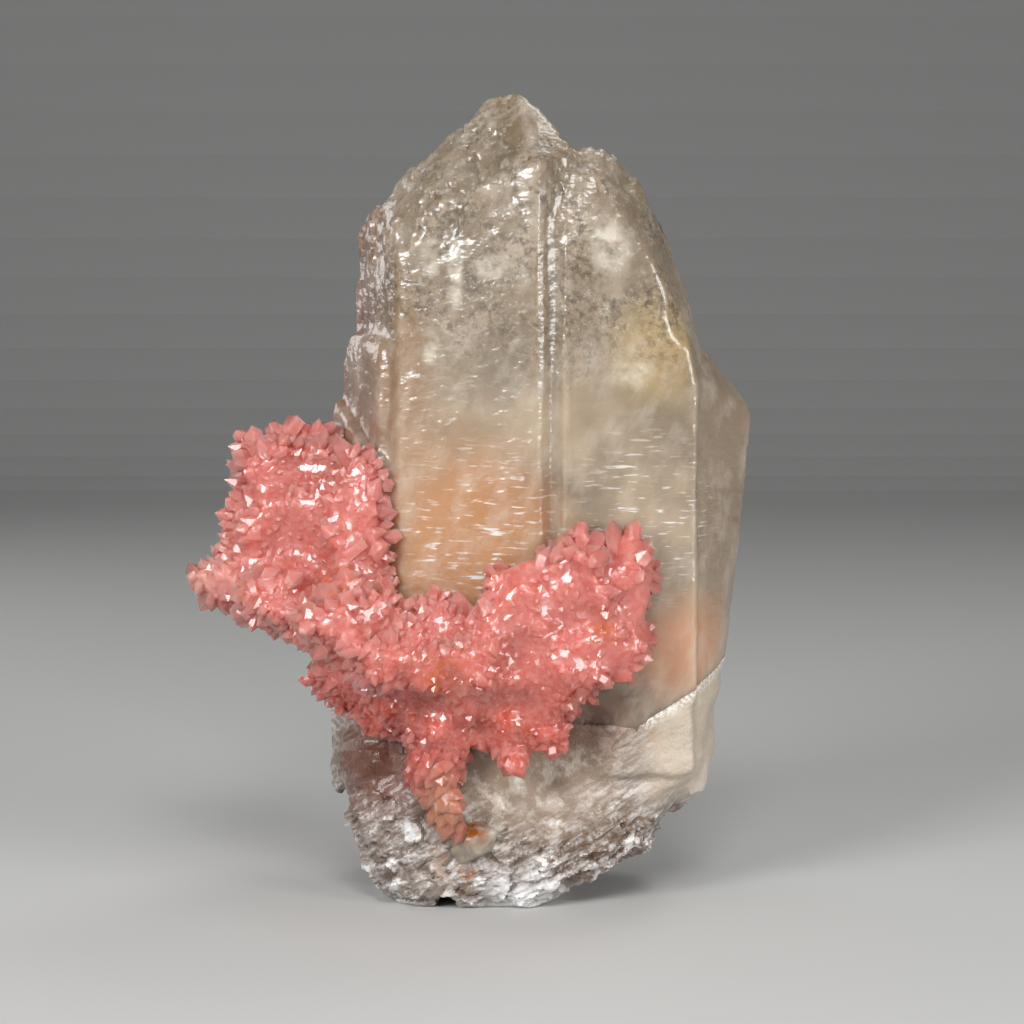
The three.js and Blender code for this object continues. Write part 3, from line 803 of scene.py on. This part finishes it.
way = add_node(rose_quartz, "ShaderNodeMix", {0: BODY_GLOW, 4: face_way, 5: body_way}, data_type="VECTOR")
way = add_node(rose_quartz, "ShaderNodeVectorMath", {0: way.outputs[1]}, operation="NORMALIZE").outputs[0]
bump = add_node(
    rose_quartz, "ShaderNodeBump", {"Height": frost, "Strength": 0.3, "Distance": 0.15 * MM, "Normal": way}
)
rose_quartz.node_tree.links.new(tone, rose_shader.inputs["Base Color"])
rose_quartz.node_tree.links.new(bump.outputs[0], rose_shader.inputs["Normal"])
rose_shader.inputs["Roughness"].default_value = 0.28
rose_shader.inputs["Coat Weight"].default_value = 0.8
rose_shader.inputs["Coat Roughness"].default_value = 0.06
rose_shader.inputs["Coat IOR"].default_value = QUARTZ_IOR
rose_shader.inputs["IOR"].default_value = QUARTZ_IOR
rose_shader.inputs["Transmission Weight"].default_value = 0.1
rose_shader.inputs["Subsurface Weight"].default_value = 0.85
rose_shader.inputs["Subsurface Radius"].default_value = (0.006, 0.0028, 0.0024)
rose_shader.inputs["Subsurface Scale"].default_value = 1.0

belt = make_piece(belt, "belt", rose_quartz, sharp_angle=24)
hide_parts("rose_quartz_belt")

# The small clear crystal: one stubby quartz crystal that leans out of the root, glassy, with worn edges
# and a brown iron stain near its foot.
WORN_EDGE = 0.35 * MM

# Clear quartz is glassy, so its faces mirror the lights. A thin cloud keeps it from looking like window
# glass, and the iron stain glows through it.
clear_quartz, clear_shader, clear_place = new_material("Clear quartz")
stain = spot(clear_quartz, clear_place, (1.5, -20, 17), (5, 9, 4))
specks = noise_between(clear_quartz, clear_place, 2, 0.36, 0.55, detail=4)
cloud = noise_between(clear_quartz, clear_place, 3.5, 0.4, 0.6, detail=4)
tone = add_node(
    clear_quartz, "ShaderNodeMix", {0: cloud, 6: colour("#b7a48e"), 7: colour("#dccfc0")}, data_type="RGBA"
).outputs[2]
tone = overlaid(clear_quartz, tone, "#c0691c", stain, specks)
ripple = noise_between(clear_quartz, clear_place, 1.5, 0.3, 0.7, detail=3, stretch=(2, 1, 1))
bump = add_node(clear_quartz, "ShaderNodeBump", {"Height": ripple, "Strength": 0.25, "Distance": 0.15 * MM})
clear_quartz.node_tree.links.new(tone, clear_shader.inputs["Base Color"])
clear_quartz.node_tree.links.new(bump.outputs[0], clear_shader.inputs["Normal"])
clear_shader.inputs["Roughness"].default_value = 0.2
clear_shader.inputs["Transmission Weight"].default_value = 0.4
clear_shader.inputs["Subsurface Weight"].default_value = 0.6
clear_shader.inputs["Subsurface Radius"].default_value = (0.003, 0.0025, 0.002)
clear_shader.inputs["Subsurface Scale"].default_value = 1.0
clear_shader.inputs["IOR"].default_value = QUARTZ_IOR

stub = solid_copy("small_clear_crystal")
bmesh.ops.dissolve_limit(stub, angle_limit=math.radians(1), verts=stub.verts, edges=stub.edges)
bmesh.ops.bevel(
    stub, geom=stub.edges, offset=WORN_EDGE, segments=2, profile=0.5, affect="EDGES", material=-1
)
stub = make_piece(stub, "clear_stub", clear_quartz, sharp_angle=30)
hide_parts("small_clear_crystal")

# The studio: a plain pale floor and large soft lights, with the camera where the photograph was taken
# from, a little above the middle of the specimen.
FLOOR_SIZE = 5.0
SWEEP_AT = 0.8  # where the floor starts to sweep up into the wall behind
SWEEP_RADIUS = 0.6
SWEEP_STEPS = 24
WALL_HEIGHT = 1.5
LENS = 100
CAMERA = Vector((9.65, -578.44, 139.45)) * MM
LOOKING_AT = Vector((9.65, 3.66, 78.27)) * MM
ROOM_GREY = "#7d8082"
ROOM_LIGHT = 0.3
LIT_POINT = Vector((0, 0, 0.08))
LIGHTS = [
    # name, place and size in metres, watts
    ("key", (-0.5, -0.62, 0.38), 0.3, 4.8),
    ("front", (0.06, -0.62, 0.6), 0.25, 2.4),
    ("fill", (0.65, -0.5, 0.25), 0.3, 2.95),
    ("rim_right", (0.3, 0.3, 0.7), 0.25, 0.7),
    ("rim_left", (-0.5, 0.4, 0.25), 0.25, 0.5),
    ("top", (0, -0.05, 0.8), 0.35, 0.6),
]

# Matt paper takes a soft shadow and mirrors nothing.
floor_grey, floor_shader, _ = new_material("Pale studio floor")
floor_shader.inputs["Base Color"].default_value = colour("#cacac8")
floor_shader.inputs["Specular IOR Level"].default_value = 0
floor_shader.inputs["Roughness"].default_value = 0.6
ground = bmesh.new()
before_sweep = Matrix.Translation((0, SWEEP_AT - FLOOR_SIZE / 2, 0))
bmesh.ops.create_grid(ground, x_segments=1, y_segments=1, size=FLOOR_SIZE / 2, matrix=before_sweep)
rear = [edge for edge in ground.edges if all(vert.co.y > SWEEP_AT - MM for vert in edge.verts)]
swept = bmesh.ops.spin(
    ground,
    geom=rear,
    cent=(0, SWEEP_AT, SWEEP_RADIUS),
    axis=(1, 0, 0),
    angle=math.pi / 2,
    steps=SWEEP_STEPS,
)
upper = [item for item in swept["geom_last"] if isinstance(item, bmesh.types.BMEdge)]
wall = bmesh.ops.extrude_edge_only(ground, edges=upper)["geom"]
bmesh.ops.translate(
    ground, vec=(0, 0, WALL_HEIGHT), verts=[item for item in wall if isinstance(item, bmesh.types.BMVert)]
)
bmesh.ops.recalc_face_normals(ground, faces=ground.faces)
mesh = bpy.data.meshes.new("floor")
ground.to_mesh(mesh)
ground.free()
mesh.materials.append(floor_grey)
floor = bpy.data.objects.new("floor", mesh)
bpy.context.scene.collection.objects.link(floor)

for name, place, size, watts in LIGHTS:
    lamp = bpy.data.lights.new(name, "AREA")
    lamp.size = size
    lamp.energy = watts
    light = bpy.data.objects.new(name, lamp)
    light.location = place
    light.rotation_euler = (LIT_POINT - light.location).to_track_quat("-Z", "Y").to_euler()
    bpy.context.scene.collection.objects.link(light)

world = bpy.data.worlds.new("studio")
world.use_nodes = True
world.node_tree.nodes["Background"].inputs["Color"].default_value = colour(ROOM_GREY)
world.node_tree.nodes["Background"].inputs["Strength"].default_value = ROOM_LIGHT
bpy.context.scene.world = world
bpy.context.scene.view_settings.view_transform = "Standard"

camera = bpy.data.objects.new("camera", bpy.data.cameras.new("camera"))
camera.data.lens = LENS
camera.location = CAMERA
camera.rotation_euler = (LOOKING_AT - CAMERA).to_track_quat("-Z", "Y").to_euler()
bpy.context.scene.collection.objects.link(camera)
bpy.context.scene.camera = camera
